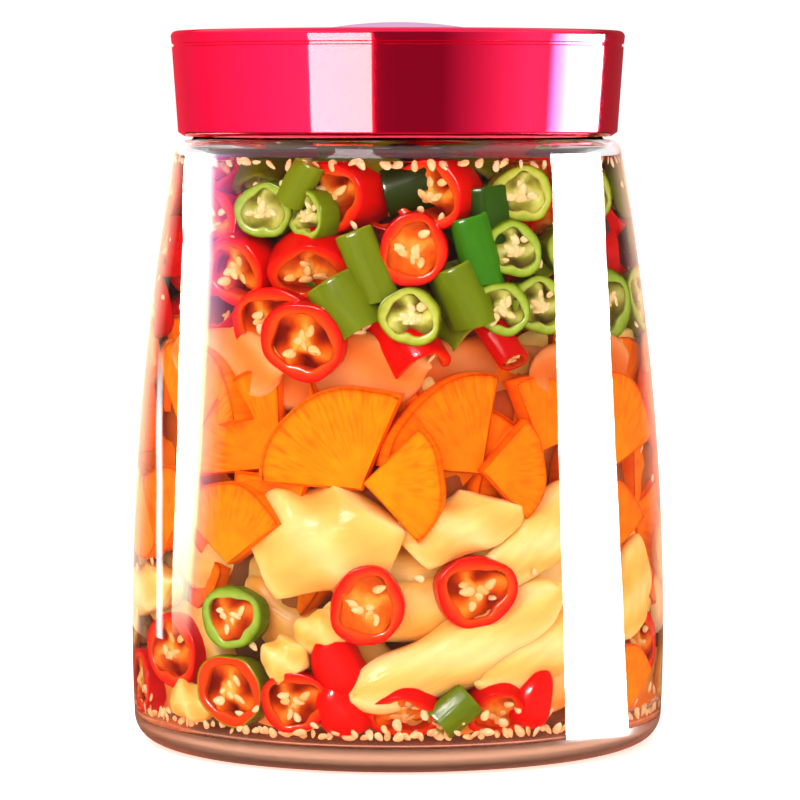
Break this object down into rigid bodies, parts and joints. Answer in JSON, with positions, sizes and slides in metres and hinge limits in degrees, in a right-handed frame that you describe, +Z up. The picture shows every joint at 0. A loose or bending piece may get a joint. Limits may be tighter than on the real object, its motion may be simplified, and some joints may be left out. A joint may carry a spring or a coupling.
{
  "type": "glass pickle jar",
  "caption": "A clear glass jar, widest low down, filled with chilli rings, carrot slices and pale root fingers in brine, shut by a red plastic lid with a soft dome in its middle",
  "frame": {"origin": "the middle of the jar's foot, on the surface it stands on", "axes": "+Z up along the jar's axis, -Y to the front, +X to the right as seen from the front"},
  "size_m": [0.1082, 0.1082, 0.1453],
  "materials": {
    "glass": "clear polished glass",
    "lid_plastic": "glossy red plastic",
    "button_silicone": "soft satin silicone, pale pink",
    "pickles": "wet pickled vegetables"
  },
  "bodies": {
    "root": {"jar_glass": "glass", "lid": "lid_plastic", "lid_button": "button_silicone", "pickles": "pickles"}
  },
  "joints": []
}
